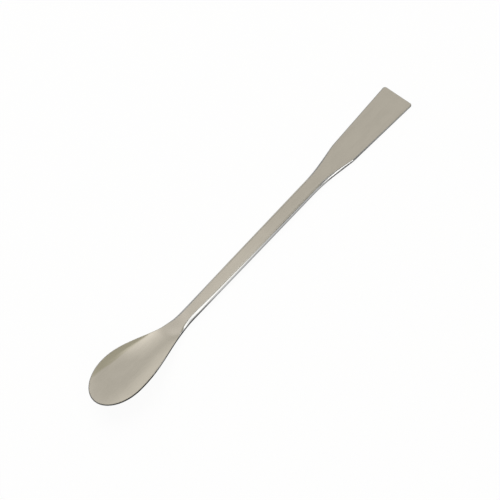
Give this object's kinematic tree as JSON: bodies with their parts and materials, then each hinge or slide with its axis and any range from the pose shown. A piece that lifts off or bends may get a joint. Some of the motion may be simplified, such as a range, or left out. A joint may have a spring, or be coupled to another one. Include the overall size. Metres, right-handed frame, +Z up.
{
  "type": "lab spatula",
  "caption": "Stainless laboratory spatula for scooping and spreading powders: an oval spoon bowl and a flared flat blade joined by a slender handle.",
  "frame": {"origin": "on the plane of the flat underside, under the middle of the overall length", "axes": "+X along the tool from the bowl to the end of the blade, +Y across it, +Z up, square to the flat underside"},
  "size_m": [0.18, 0.019, 0.009],
  "materials": {
    "steel": "satin stainless steel with a fine lengthways grain"
  },
  "bodies": {
    "root": {"spatula": "steel"}
  },
  "joints": []
}
